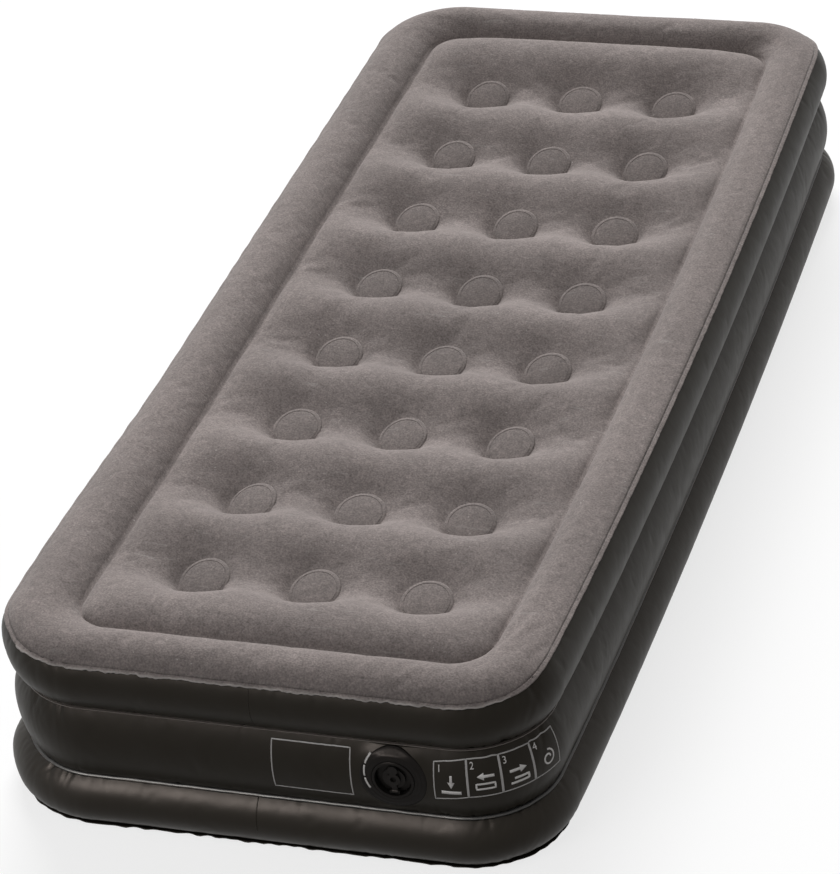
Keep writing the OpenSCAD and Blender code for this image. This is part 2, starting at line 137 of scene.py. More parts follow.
def settle(points):
    # bows the sides, sets the corners, lowers the tufted panel and lets the top sag towards mid-length
    out = np.array(points, float)
    x, y = out[..., 0].copy(), out[..., 1].copy()
    across, along = x / bed["halfWidth"], y / bed["halfLength"]
    share = along ** 2
    corner = (across * along) ** bed["edgeHold"]
    flare = easeIn((y - bed["flareStart"]) / (bed["flareEnd"] - bed["flareStart"]))
    flare *= 1 - bed["flareCut"] * easeIn((bed["cutStart"] - y) / bed["cutLength"])
    footRight, headLeft = corner * ((across > 0) & (along < 0)), corner * ((across < 0) & (along > 0))
    footLeft = corner * ((across < 0) & (along < 0)) * np.clip(1 - out[..., 2] / bed["pushTop"], 0, 1)
    out[..., 0] += (bed["sideBow"] * (1 - share) - bed["sideDraw"]) * across
    left = (across < 0) * across ** bed["edgeHold"]
    out[..., 0] -= (bed["leftPush"] + bed["leftFlare"] * flare) * left + bed["headLeftPush"] * headLeft
    out[..., 0] -= bed["footRightDraw"] * footRight + bed["footLeftPush"] * footLeft
    ahead = bed["footRightDraw"] * footRight + bed["headLeftPush"] * headLeft
    out[..., 1] += ahead - bed["footLeftPush"] * footLeft
    (dropStart, dropEnd), (easeUp, easeDown) = bed["dropAlong"], bed["dropEase"]
    panel = easeIn((y - dropStart) / easeUp) * easeIn((dropEnd - y) / easeDown)
    panel = panel * easeIn((bed["dropAcross"] - np.abs(x)) / bed["dropSlope"])
    drop = bed["sag"] * (1 - share) + bed["panelDrop"] * panel
    out[..., 2] -= drop * np.clip(out[..., 2] / bed["sagTop"], 0, 1)
    return out


def walkRound(nAcross, nAlong, nCorner):
    # side, share of its straight run and outward angle of each station round the bed
    side, share, angle = [], [], []
    for k in range(4):
        n = nAlong if k % 2 else nAcross
        for i in range(n):
            turn = min(i - nCorner, 0) + max(i - n + nCorner, 0)
            side.append(k)
            share.append(min(max((i - nCorner) / (n - 2 * nCorner), 0), 1))
            angle.append(90 * (k - 1) + 45 * turn / nCorner)
    return np.array(side), np.array(share), np.radians(angle)


def outward(walk):
    return np.column_stack((np.cos(walk[2]), np.sin(walk[2])))


def pathPoints(walk, grow, inset=0.0, radius=None):
    # points of a rounded outline, moved outwards by grow
    radius = bed["cornerRadius"] if radius is None else radius
    reach = np.array((bed["halfWidth"], bed["halfLength"])) - inset - radius
    corners = np.array(((-1, -1), (1, -1), (1, 1), (-1, 1), (-1, -1))) * reach
    side, share, _ = walk
    middle = corners[side] + (corners[side + 1] - corners[side]) * share[:, None]
    return middle + outward(walk) * (radius + np.broadcast_to(grow, share.shape))[:, None]


def bulgeCircle(foot, head, bulge):
    foot, head = np.array(foot), np.array(head)
    chord = head - foot
    span = np.linalg.norm(chord)
    radius = (span * span / 4 + bulge * bulge) / (2 * bulge)
    return (foot + head) / 2 - np.array((chord[1], -chord[0])) / span * (radius - bulge), radius


def circleThrough(a, b, c):
    a, b, c = (np.array(p) for p in (a, b, c))
    u, v = b - a, c - a
    d = 2 * (u[0] * v[1] - u[1] * v[0])
    off = np.array((v[1] * (u @ u) - u[1] * (v @ v), u[0] * (v @ v) - v[0] * (u @ u))) / d
    return a + off, np.linalg.norm(off)


def angleOn(circle, point):
    return math.atan2(point[1] - circle[0][1], point[0] - circle[0][0])


def rightShare(walk):
    # 1 along the right side, easing to 0 round its corners
    return np.maximum(np.cos(walk[2]), 0) ** bed["edgeHold"]


def edgeTurn(walk):
    return math.radians(bed["edgeTurn"]) * rightShare(walk)


def arcRings(circle, start, end, rows, startTurn=0.0, endTurn=0.0):
    # rings of an arc's distance from the outer edge and height, with ends that may turn along the way round
    first, last = angleOn(circle, start) + startTurn, angleOn(circle, end) + endTurn
    rings = []
    for n in range(rows + 1):
        angle = first + (last - first) * n / rows
        rings.append((circle[0][0] + circle[1] * np.cos(angle), circle[0][1] + circle[1] * np.sin(angle)))
    return rings


def wave(seed, along, length, sines=6):
    # smooth random curve round the bed, about -1 to 1, from a few sines of whole periods
    rng = np.random.default_rng(seed)
    out = np.zeros_like(along)
    for n in range(sines):
        periods = max(1, round(length * (0.6 + 0.8 * rng.random())))
        out += np.sin(2 * math.pi * (periods * along + rng.random())) * (0.5 + rng.random())
    return out / sines ** 0.5


def waveSum(parts, along):
    # sum of such curves, each given by its seed, its periods round the bed and its share
    return sum(wave(seed, along, length) * share for seed, length, share in parts)


def newPiece(name, points, faces, smooth=True):
    mesh = bpy.data.meshes.new(name)
    mesh.from_pydata([tuple(p) for p in points], [], [tuple(int(i) for i in f) for f in faces])
    mesh.update()
    if smooth:
        mesh.polygons.foreach_set("use_smooth", np.ones(len(mesh.polygons), bool))
    return addObject(name, mesh)


def readVertices(mesh, what):
    values = np.zeros(len(mesh.vertices) * 3, np.float32)
    mesh.vertices.foreach_get(what, values)
    return values.reshape(-1, 3).astype(float)


def readPoints(piece):
    return readVertices(piece.data, "co")


def writePoints(piece, points):
    piece.data.vertices.foreach_set("co", np.asarray(points, np.float32).ravel())
    piece.data.update()


def ringFaces(nRings, nRound, first=0):
    # quads between closed rings that run anticlockwise, facing outwards
    i = np.arange(nRound)
    j = (i + 1) % nRound
    rows = [np.column_stack((i, j, j + nRound, i + nRound)) + first + r * nRound for r in range(nRings - 1)]
    return np.vstack(rows)


def applyModifiers(piece):
    # turns the piece with its modifiers into a plain mesh
    graph = bpy.context.evaluated_depsgraph_get()
    graph.update()
    mesh = bpy.data.meshes.new_from_object(piece.evaluated_get(graph))
    mesh.name = piece.name
    piece.modifiers.clear()
    piece.vertex_groups.clear()
    old = piece.data
    piece.data = mesh
    bpy.data.meshes.remove(old)
    return piece


filmCloth = {"quality": 4, "mass": 0.3, "tension": 40, "shear": 15, "bending": 0.6, "damping": 10}


def inflate(piece, held, look):
    # lets a slack film swell between the places where it is held, and caps how far it moves
    rest = readPoints(piece)
    group = piece.vertex_groups.new(name="held")
    group.add([int(i) for i in np.flatnonzero(held)], 1.0, "REPLACE")
    modifier = piece.modifiers.new("swell", "CLOTH")
    cloth = modifier.settings
    cloth.quality = filmCloth["quality"]
    cloth.mass = filmCloth["mass"]
    cloth.tension_stiffness = cloth.compression_stiffness = filmCloth["tension"]
    cloth.shear_stiffness = filmCloth["shear"]
    cloth.bending_stiffness = filmCloth["bending"]
    cloth.tension_damping = cloth.compression_damping = cloth.shear_damping = filmCloth["damping"]
    cloth.shrink_min = -look["slack"]
    cloth.vertex_group_mass = "held"
    cloth.use_pressure = True
    cloth.uniform_pressure_force = look["pressure"]
    cloth.effector_weights.gravity = 0
    modifier.collision_settings.use_collision = False
    modifier.point_cache.frame_start = 1
    modifier.point_cache.frame_end = look["frames"]
    for n in range(1, look["frames"] + 1):
        scene.frame_set(n)
    graph = bpy.context.evaluated_depsgraph_get()
    move = readVertices(piece.evaluated_get(graph).data, "co") - rest
    size = np.linalg.norm(move, axis=1)
    move *= (np.minimum(size, look["cap"]) / np.maximum(size, 1e-9))[:, None]
    piece.modifiers.clear()
    piece.vertex_groups.clear()
    scene.frame_set(1)
    writePoints(piece, rest + move)
    print(piece.name, "swelled by up to", round(float(size.max()) * 1000, 1), "mm")


# Places of the tufts, under which the inner tubes stand
tuftRows, tuftCols = 8, 3
tuftCentres = []
for r in range(1, tuftRows + 1):
    for c in range(1, tuftCols + 1):
        low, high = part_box(f"coil_beam_{r}_{c}")
        tuftCentres.append(((low.x + high.x) / 2, (low.y + high.y) / 2))
tuftCentres = np.array(tuftCentres)
tuftPitch = tuftCentres[tuftCols, 1] - tuftCentres[0, 1]
tuftLook = {
    "radius": 0.0383,
    "height": 0.257,
    "lean": 22.0,  # degrees that a tuft leans towards the foot end, at mid-length
    "leanRise": 6.0,  # degrees more for each metre towards the head end
    "roll": 7.0,  # degrees that a tuft's right edge stands higher than its left one
    "jitter": 3.0,
    "dome": 0.004,
    "ringShare": 0.86,
    "ring": 0.0006,
    "wearAndPaintedLight": 0.06,  # how far the discs are painted lighter, partly as pressed flock and partly as painted light
    "tubeDrop": 0.012,  # how far below a disc its inner tube ends
}
tuftRandom = np.random.default_rng(17)
tuftLean = np.radians(
    tuftLook["lean"] + tuftLook["leanRise"] * tuftCentres[:, 1]
    + tuftLook["jitter"] * tuftRandom.normal(size=len(tuftCentres)) / 2
)
tuftRoll = np.radians(tuftLook["roll"] + tuftLook["jitter"] * tuftRandom.normal(size=len(tuftCentres)))


def nearestTuft(points):
    # distance of each point from the nearest tuft's middle, seen from above, the way there and its number
    reach = np.sqrt(((points[..., None, :2] - tuftCentres) ** 2).sum(-1))
    nearest = reach.argmin(-1)
    return reach.min(-1), points[..., :2] - tuftCentres[nearest], nearest


def snapToTufts(grid, cell):
    # draws the grid points beside a tuft's edge onto that edge
    reach, _, nearest = nearestTuft(grid)
    radius = tuftLook["radius"]
    beside = np.abs(reach - radius) < cell
    middle = tuftCentres[nearest]
    pulled = middle + (grid[..., :2] - middle) * (radius / np.maximum(reach, 1e-6))[..., None]
    grid[beside, :2] = pulled[beside]


topSheet = {
    "across": 96,
    "along": 288,
    "corner": 9,
    "borderRows": 24,
    "snap": 0.0026,
    "crest": 0.298,
    "grooveDrop": 0.004,
    "flatten": 0.8,  # how far the border tube lies flat on the right side
    "flatCrest": 0.66,
    "flatTop": 0.2955,
    "fullness": 0.82,
    "fullSwing": 0.12,  # the film is slacker behind a tuft than in front of it
    "drift": 0.2,  # how far the rolls lean towards the head end, for each unit of rise
    "valley": 0.5,
    "valleyWidth": 0.06,
    "pleats": 0.0003,
    "pleatReach": 0.02,
    "slack": 0.002,
    "pressure": 3.0,
    "cap": 0.0025,
    "frames": 18,
}


def relaxHeights(heights, held, load, rounds=500, push=1.92):
    # settles the free heights of a stretched film under an even load
    free = ~held[1:-1, 1:-1]
    odd = np.add.outer(np.arange(free.shape[0]), np.arange(free.shape[1])) % 2 == 1
    inner = heights[1:-1, 1:-1]
    for n in range(rounds):
        for turn in (free & odd, free & ~odd):
            beside = heights[:-2, 1:-1] + heights[2:, 1:-1] + heights[1:-1, :-2] + heights[1:-1, 2:]
            inner[turn] += push * (beside / 4 + load - inner)[turn]
    return heights


def panelGrid(rim, nx, ny):
    # fills a closed rim with a grid of nx by ny cells
    u = np.linspace(0, 1, nx + 1)[None, :, None]
    v = np.linspace(0, 1, ny + 1)[:, None, None]
    total = len(rim)
    bottom = rim[:nx + 1][None]
    right = rim[nx:nx + ny + 1][:, None]
    top = rim[nx + ny:2 * nx + ny + 1][::-1][None]
    left = rim[[(2 * nx + 2 * ny - j) % total for j in range(ny + 1)]][:, None]
    corners = (
        (1 - u) * (1 - v) * bottom[:, :1] + u * (1 - v) * bottom[:, -1:]
        + (1 - u) * v * top[:, :1] + u * v * top[:, -1:]
    )
    return (1 - v) * bottom + v * top + (1 - u) * left + u * right - corners


def panelIndex(nx, ny, rimFirst, innerFirst):
    # index of each grid point: the rim's own points round the edge, new ones inside
    total = 2 * (nx + ny)
    index = np.zeros((ny + 1, nx + 1), int)
    index[1:-1, 1:-1] = innerFirst + np.arange((ny - 1) * (nx - 1)).reshape(ny - 1, nx - 1)
    index[0, :] = rimFirst + np.arange(nx + 1)
    index[:, -1] = rimFirst + nx + np.arange(ny + 1)
    index[-1, :] = rimFirst + nx + ny + np.arange(nx + 1)[::-1]
    index[:, 0] = rimFirst + (2 * nx + 2 * ny - np.arange(ny + 1)) % total
    return index


def gridFaces(index):
    return np.column_stack((
        index[:-1, :-1].ravel(), index[:-1, 1:].ravel(), index[1:, 1:].ravel(), index[1:, :-1].ravel(),
    ))


def sheetMesh(rings, grid):
    # points and faces of rings that close on a grid, and the index of each grid point
    nRings, nRound = len(rings), len(rings[0])
    ny, nx = grid.shape[0] - 1, grid.shape[1] - 1
    index = panelIndex(nx, ny, (nRings - 1) * nRound, nRings * nRound)
    points = np.vstack(rings + [grid[1:-1, 1:-1].reshape(-1, 3)])
    return points, np.vstack((ringFaces(nRings, nRound), gridFaces(index))), index


borderCircle = circleThrough(highFoot, flockEdge, grooveLine)


def panelHeights(grid, look):
    # film held at the groove and at the leaning tufts, and swollen in between
    held = np.zeros(grid.shape[:2], bool)
    held[0] = held[-1] = True
    held[:, 0] = held[:, -1] = True
    reach, gap, nearest = nearestTuft(grid)
    onTuft = reach < tuftLook["radius"] + 1e-4
    heights = grid[..., 2].copy()
    slope = np.tan(tuftLean[nearest]) * gap[..., 1] + np.tan(tuftRoll[nearest]) * gap[..., 0]
    heights[onTuft] = tuftLook["height"] + slope[onTuft]
    heights = relaxHeights(heights, held | onTuft, 0.0)
    swell = relaxHeights(np.zeros_like(heights), held | onTuft, 1e-4)
    row, col = np.unravel_index(np.argmax(swell), swell.shape)
    phase = np.clip(gap[..., 1] / tuftPitch, -0.5, 0.5)
    swell = (swell / swell[row, col]) ** (look["fullness"] + look["fullSwing"] * np.sin(2 * math.pi * phase))
    # shallow valleys run across the bed through each row of tufts
    swell *= 1 - look["valley"] * np.exp(-(gap[..., 1] / look["valleyWidth"]) ** 2)
    rise = swell * (look["crest"] - heights[row, col])
    return heights + rise, rise, onTuft


def addPleats(grid, look):
    # fine pleats that run off the tufts' edges
    rng = np.random.default_rng(7)
    reach, gap, nearest = nearestTuft(grid)
    angle = np.arctan2(gap[..., 1], gap[..., 0])
    turns = rng.random((len(tuftCentres), 3)) * 2 * math.pi
    ripple = sum(np.sin((9 + 2 * k) * angle + turns[nearest, k]) for k in range(3)) / 2
    past = np.maximum(reach - tuftLook["radius"], 0)
    fade = past / look["pleatReach"] * np.exp(1 - past / look["pleatReach"])
    grid[..., 2] += look["pleats"] * ripple * fade


def flatBorder(share, edgeHeight, grooveHeight, look):
    # height of a border tube that slopes straight up from the flock edge and then turns down into the groove
    crest, top = look["flatCrest"], look["flatTop"]
    past = np.clip((share - crest) / (1 - crest), 0, 1)
    rising = edgeHeight + (top - edgeHeight) * share / crest
    return np.where(share < crest, rising, grooveHeight + (top - grooveHeight) * np.sqrt(1 - past * past))


def makeTopSheet():
    look = topSheet
    nx, ny = look["across"], look["along"]
    walk = walkRound(nx, ny, look["corner"])
    nRound = len(walk[0])
    groove = pathPoints(walk, 0.0, groovePath["inset"], groovePath["radius"])
    edge = pathPoints(walk, flockEdge[0])
    # border tube, from the flock edge over to the groove
    rings = []
    arc = arcRings(borderCircle, flockEdge, grooveLine, look["borderRows"], edgeTurn(walk))
    flat = look["flatten"] * rightShare(walk)
    for u, z in arc:
        share = (flockEdge[0] - u) / (groovePath["inset"] + flockEdge[0])
        past = (arc[0][0] - u) / (arc[0][0] - arc[-1][0])
        z = z + flat * (flatBorder(past, arc[0][1], arc[-1][1], look) - z)
        rings.append(np.column_stack((edge + (groove - edge) * share[:, None], z)))
    rings[-1][:, 2] -= look["grooveDrop"]
    grid = panelGrid(rings[-1], nx, ny)
    snapToTufts(grid, look["snap"])
    grid[..., 2], rise, onTuft = panelHeights(grid, look)
    addPleats(grid, look)
    grid[..., 1] += look["drift"] * rise
    points, faces, index = sheetMesh(rings, grid)
    piece = newPiece("topSheet", settle(points), faces)
    grooveFirst = (len(rings) - 1) * nRound
    pinned = np.zeros(len(points), bool)
    pinned[:nRound] = True
    pinned[grooveFirst:grooveFirst + nRound] = True
    pinned[index[onTuft]] = True
    inflate(piece, pinned, look)
    return piece


top = makeTopSheet()
print("top sheet:", len(top.data.polygons), "faces")

lipLook = {
    "across": 340,
    "along": 860,
    "corner": 40,
    "rows": 5,
    "over": 0.0004,
    "drop": 0.006,
    "lift": 0.0011,
    "tuck": 0.3,  # share of the lift by which the upper edge lies under the top film
    "ragged": 0.0014,
    "raggedWaves": ((3, 70, 0.4), (4, 210, 0.35), (5, 480, 0.25)),
    "flare": 0.0009,
    "flareWaves": ((6, 90, 1.0),),
    "sideShare": 0.3,
}


def makeFlockLip():
    # edge of the flocked film, which laps over the side with a ragged hem
    look = lipLook
    walk = walkRound(look["across"], look["along"], look["corner"])
    nRound = len(walk[0])
    along = np.arange(nRound) / nRound
    ragged, flare = waveSum(look["raggedWaves"], along), waveSum(look["flareWaves"], along)
    middle = angleOn(borderCircle, flockEdge) + edgeTurn(walk)
    hold = np.where(walk[0] % 2 == 1, look["sideShare"], 1.0)  # the long sides hang straighter
    rings = []
    for n in range(look["rows"] + 1):
        share = 1 - n / look["rows"]  # 1 at the hem
        way = look["over"] - (look["over"] + look["drop"] + look["ragged"] * ragged * hold) * share
        angle = middle + way / borderCircle[1]
        radius = borderCircle[1] + look["lift"] * (2 * share - look["tuck"])
        radius = radius + look["flare"] * (flare + 1) * hold * share ** 2
        grow = borderCircle[0][0] + radius * np.cos(angle)
        rings.append(np.column_stack((pathPoints(walk, grow), borderCircle[0][1] + radius * np.sin(angle))))
    piece = newPiece("flockLip", settle(np.vstack(rings)), ringFaces(len(rings), nRound))
    # the hem is painted lighter, fading over the last rows and weaker on the long sides: a painted highlight
    # along the edge, partly wear
    wearAndPaintedLight = piece.data.attributes.new("wearAndPaintedLight", "FLOAT", "POINT")
    hem = np.outer(np.linspace(1, 0, look["rows"] + 1) ** 4, hold ** 2).ravel()
    wearAndPaintedLight.data.foreach_set("value", hem.astype(np.float32))
    return piece


lip = makeFlockLip()

sideFilm = {
    "across": 200,
    "along": 460,
    "corner": 34,
    "slack": 0.0006,
    "pressure": 2.0,
    "cap": 0.002,
    "frames": 12,
}
middleCircle = bulgeCircle(midFoot, midHead, bed["midBulge"])
lowerCircle = bulgeCircle(lowFoot, lowHead, bed["lowBulge"])
tiers = {
    "upperBand": {"circle": borderCircle, "foot": highFoot, "head": flockEdge, "rows": 18},
    "middleBand": {"circle": middleCircle, "foot": midFoot, "head": midHead, "rows": 26},
    "lowerBand": {"circle": lowerCircle, "foot": lowFoot, "head": lowHead, "rows": 22},
}
# Depth, width and reach are each a size, the least share of it and the random share on top
puckers = {
    "count": 150,
    "cornerShare": 0.6,
    "cornerSpread": 0.5,
    "sideShare": 0.12,
    "depth": (0.0011, 0.3, 1.2),
    "width": (0.0045, 0.5, 1.0),
    "reach": (0.014, 0.5, 1.5),
    "lean": 0.35,
    "window": 14,  # stations to each side that a pucker may reach
}


def vary(rng, size, least, more):
    return size * (least + more * rng.random())


def addPuckers(piece, shape, seed):
    # short creases that run off the seams, thicker at the corners
    rng = np.random.default_rng(seed)
    points = readPoints(piece).reshape(*shape, 3)
    normals = readVertices(piece.data, "normal").reshape(*shape, 3)
    steps = np.linalg.norm(np.diff(points[0], axis=0, append=points[0][:1]), axis=1)
    place = np.cumsum(steps)
    climb = np.cumsum(np.linalg.norm(np.diff(points[:, 0], axis=0, prepend=points[:1, 0]), axis=1))
    nRound = shape[1]
    corners = np.cumsum([0, sideFilm["across"], sideFilm["along"], sideFilm["across"]])
    spread = sideFilm["corner"] * puckers["cornerSpread"]
    depth = np.zeros(shape)
    for gap in (climb, climb[-1] - climb):
        for n in range(puckers["count"]):
            station = rng.integers(nRound)
            deep = vary(rng, *puckers["depth"])
            if rng.random() < puckers["cornerShare"]:
                station = rng.choice(corners) + int(rng.normal() * spread)
            elif abs(points[0, station, 1]) < bed["halfLength"] - 2 * bed["cornerRadius"]:
                deep *= puckers["sideShare"]  # the long sides are tauter
            width, reach = vary(rng, *puckers["width"]), vary(rng, *puckers["reach"])
            lean = puckers["lean"] * rng.normal()
            window = (station + np.arange(-puckers["window"], puckers["window"] + 1)) % nRound
            offset = place[window] - place[station % nRound]
            offset -= place[-1] * np.round(offset / place[-1])
            across = (offset[None, :] - lean * gap[:, None]) / width
            crease = deep * (1 - across ** 2) * np.exp(-across ** 2)
            depth[:, window] -= crease * np.exp(-gap / reach)[:, None]
    writePoints(piece, (points + normals * depth[..., None]).reshape(-1, 3))


def makeBand(name, seed):
    tier = tiers[name]
    walk = walkRound(sideFilm["across"], sideFilm["along"], sideFilm["corner"])
    nRound = len(walk[0])
    turn = edgeTurn(walk) * (tier["head"] == flockEdge)
    rings = [
        np.column_stack((pathPoints(walk, u), np.broadcast_to(z, nRound)))
        for u, z in arcRings(tier["circle"], tier["foot"], tier["head"], tier["rows"], 0.0, turn)
    ]
    piece = newPiece(name, settle(np.vstack(rings)), ringFaces(len(rings), nRound))
    pinned = np.zeros(len(rings) * nRound, bool)
    pinned[:nRound] = True
    pinned[-nRound:] = True
    inflate(piece, pinned, sideFilm)
    addPuckers(piece, (len(rings), nRound), seed)
    return piece


bands = {name: makeBand(name, 21 + n) for n, name in enumerate(tiers)}
print("side bands made")

socketLow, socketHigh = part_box("valve_socket")
valve = {
    "x": (socketLow.x + socketHigh.x) / 2,
    "z": (socketLow.z + socketHigh.z) / 2,
    "rim": socketLow.y,
    "socket": (socketHigh.x - socketLow.x) / 2,
    "under": 0.002,  # how far the film lies behind the socket's rim
    "hole": 0.0285,
    "flat": 0.032,
    "slope": 0.062,
    "margin": 1.2,  # how far past the slope the film is looked at
    "snap": 0.0026,
    "seamRoom": 0.014,
    "flange": 0.047,
    "flangeFilm": 0.0012,
    "flangeGap": 0.0002,
    "flangeLift": 0.0006,
    "flangeRound": 96,
    "flangeRings": 14,
    "edgeShare": 0.85,  # where the flange starts to thin towards its edge
    "edgeCut": 0.7,
    "ridges": 3,
    "ridge": 0.00028,
}


def seatValve(piece):
    # raises the film round the valve to the socket's rim and cuts the hole for it
    points = readPoints(piece)
    dx, dz = points[:, 0] - valve["x"], points[:, 2] - valve["z"]
    reach = np.hypot(dx, dz)
    near = (points[:, 1] < valve["rim"] / 2) & (reach < valve["slope"] * valve["margin"])
    target = valve["rim"] + valve["under"]
    share = 1 - easeIn((reach - valve["flat"]) / (valve["slope"] - valve["flat"]))
    share *= easeIn((midHead[1] - points[:, 2]) / valve["seamRoom"])
    share *= easeIn((points[:, 2] - midFoot[1]) / valve["seamRoom"])
    lifted = near & (points[:, 1] > target)
    points[lifted, 1] += ((target - points[:, 1]) * share)[lifted]
    onHole = near & (np.abs(reach - valve["hole"]) < valve["snap"])
    scale = (valve["hole"] / np.maximum(reach, 1e-6))[onHole]
    points[onHole, 0] = valve["x"] + dx[onHole] * scale
    points[onHole, 2] = valve["z"] + dz[onHole] * scale
    writePoints(piece, points)
    inside = set(np.flatnonzero(near & (reach < valve["hole"] + valve["snap"])).tolist())
    work = bmesh.new()
    work.from_mesh(piece.data)
    gone = [f for f in work.faces if all(v.index in inside for v in f.verts)]
    bmesh.ops.delete(work, geom=gone, context="FACES")
    work.to_mesh(piece.data)
    work.free()


seatValve(bands["middleBand"])

baseLook = {
    "across": 136,
    "along": 300,
    "corner": 20,
    "finRows": 4,
    "fin": 0.0095,
    "ragged": 0.0015,
    "raggedWaves": ((11, 50, 0.6), (12, 130, 0.4)),
    "curl": 0.0018,
    "curlWaves": ((13, 80, 1.0),),
    "curlMost": 0.006,
    "dent": 0.006,
    "dentSlope": 0.018,
}


def makeBase():
    look = baseLook
    nx, ny = look["across"], look["along"]
    walk = walkRound(nx, ny, look["corner"])
    nRound = len(walk[0])
    along = np.arange(nRound) / nRound
    ragged, curl = waveSum(look["raggedWaves"], along), np.abs(waveSum(look["curlWaves"], along))
    rings = []
    for n in range(look["finRows"] + 1):
        share = 1 - n / look["finRows"]
        grow = lowFoot[0] + look["fin"] * share + look["ragged"] * ragged * share ** 2
        lift = np.clip(look["curl"] * curl * share ** 1.5, 0, look["curlMost"])
        rings.append(np.column_stack((pathPoints(walk, grow), lift)))
    grid = panelGrid(rings[-1], nx, ny)
    reach, _, _ = nearestTuft(grid)
    grid[..., 2] = look["dent"] * easeIn(1 - (reach - tuftLook["radius"]) / look["dentSlope"])
    points, faces, _ = sheetMesh(rings, grid)
    return newPiece("baseSheet", settle(points) + (0, 0, bed["film"]), faces)


base = makeBase()


def thicken(piece, thickness):
    shell = piece.modifiers.new("film", "SOLIDIFY")
    shell.thickness = thickness
    shell.offset = -1
    applyModifiers(piece)


for piece in (top, lip, base, *bands.values()):
    thicken(piece, bed["film"])
print("base made, films thickened")


def settledCopy(name, nodes, step=None, stretch=1.0):
    # copy of hidden inner films that follows the bow and the sag
    work = bmesh.new()
    for node in nodes:
        work.from_mesh(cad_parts[node].data)
    bmesh.ops.remove_doubles(work, verts=work.verts, dist=1e-5)
    if step:
        reach = bed["halfLength"]
        for y in np.arange(-reach + step, reach, step):
            parts = work.verts[:] + work.edges[:] + work.faces[:]
            bmesh.ops.bisect_plane(work, geom=parts, plane_co=(0, y, 0), plane_no=(0, 1, 0))
    mesh = bpy.data.meshes.new(name)
    work.to_mesh(mesh)
    work.free()
    piece = addObject(name, mesh)
    writePoints(piece, settle(readPoints(piece) * (1, 1, stretch)))
    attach(piece, "bed")
    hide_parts(*nodes)
    return piece


coilNodes = [f"coil_beam_{r}_{c}" for r in range(1, tuftRows + 1) for c in range(1, tuftCols + 1)]
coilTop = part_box(coilNodes[0])[1].z
tieStep = 0.05  # length of the pieces that the long films are cut into, so that they can bend
ties = [
    settledCopy("perimeterBeam", ["perimeter_beam"], tieStep, 1 - topSheet["grooveDrop"] / grooveLine[1]),
    settledCopy("upperWeb", ["upper_web"], tieStep),
    settledCopy("lowerWeb", ["lower_web"], tieStep),
    settledCopy("coilBeams", coilNodes, stretch=(tuftLook["height"] - tuftLook["tubeDrop"]) / coilTop),
]
print("inner films follow the sag")


def newTree(name, sizes):
    # empty node tree with a mesh going in, its sizes and a material as named inputs, and a mesh coming out
    tree = bpy.data.node_groups.new(name, "GeometryNodeTree")
    tree.interface.new_socket("Geometry", in_out="INPUT", socket_type="NodeSocketGeometry")
    for size in sizes:
        tree.interface.new_socket(size, in_out="INPUT", socket_type="NodeSocketFloat")
    tree.interface.new_socket("Finish", in_out="INPUT", socket_type="NodeSocketMaterial")
    tree.interface.new_socket("Geometry", in_out="OUTPUT", socket_type="NodeSocketGeometry")
    return tree, tree.nodes.new("NodeGroupInput"), tree.nodes.new("NodeGroupOutput")


def addNode(tree, kind, values=None, **settings):
    node = tree.nodes.new(kind)
    for key, value in settings.items():
        setattr(node, key, value)
    for key, value in (values or {}).items():
        if isinstance(value, bpy.types.NodeSocket):
            tree.links.new(value, node.inputs[key])
        else:
            node.inputs[key].default_value = value
    return node


def addMath(tree, operation, first, second):
    return addNode(tree, "ShaderNodeMath", {0: first, 1: second}, operation=operation).outputs[0]


def addScale(tree, vector, factor):
    return addNode(tree, "ShaderNodeVectorMath", {0: vector, "Scale": factor}, operation="SCALE").outputs[0]


def endTree(tree, given, last, geometry):
    smooth = addNode(tree, "GeometryNodeSetShadeSmooth", {"Geometry": geometry})
    real = addNode(tree, "GeometryNodeRealizeInstances", {"Geometry": smooth.outputs[0]})
    painted = addNode(tree, "GeometryNodeSetMaterial", {
        "Geometry": real.outputs[0], "Material": given.outputs["Finish"],
    })
    tree.links.new(painted.outputs[0], last.inputs["Geometry"])


def growTree(piece, tree, sizes, finish):
    # runs a node tree on a piece and keeps the result as a plain mesh
    modifier = piece.modifiers.new(tree.name, "NODES")
    modifier.node_group = tree
    named = {s.name: s.identifier for s in tree.interface.items_tree if s.in_out == "INPUT"}
    for name, value in sizes.items():
        modifier[named[name]] = value
    modifier[named["Finish"]] = finish
    return applyModifiers(piece)


def seamTree():
    # flat fin swept along a closed line, with a fine ripple
    tree, given, last = newTree("seamFin", ("Width", "Thickness", "Ripple", "Wavelength"))
    curve = addNode(tree, "GeometryNodeMeshToCurve", {"Mesh": given.outputs["Geometry"]})
    upright = addNode(tree, "GeometryNodeSetCurveNormal", {"Curve": curve.outputs[0]}, mode="Z_UP")
    pitch = addMath(tree, "DIVIDE", 1.0, given.outputs["Wavelength"])
    place = addNode(tree, "GeometryNodeInputPosition")
    ripple = addNode(tree, "ShaderNodeTexNoise", {"Vector": place.outputs[0], "Scale": pitch, "Detail": 2.0})
    centred = addNode(tree, "ShaderNodeVectorMath", {0: ripple.outputs["Color"], 1: (0.5, 0.5, 0.5)},
                      operation="SUBTRACT")
    sway = addScale(tree, centred.outputs[0], given.outputs["Ripple"])
    wavy = addNode(tree, "GeometryNodeSetPosition", {"Geometry": upright.outputs[0], "Offset": sway})
    profile = addNode(tree, "GeometryNodeCurvePrimitiveQuadrilateral", {
        "Width": given.outputs["Width"], "Height": given.outputs["Thickness"],
    })
    swept = addNode(tree, "GeometryNodeCurveToMesh", {
        "Curve": wavy.outputs[0], "Profile Curve": profile.outputs[0],
    })
    endTree(tree, given, last, swept.outputs[0])
    return tree


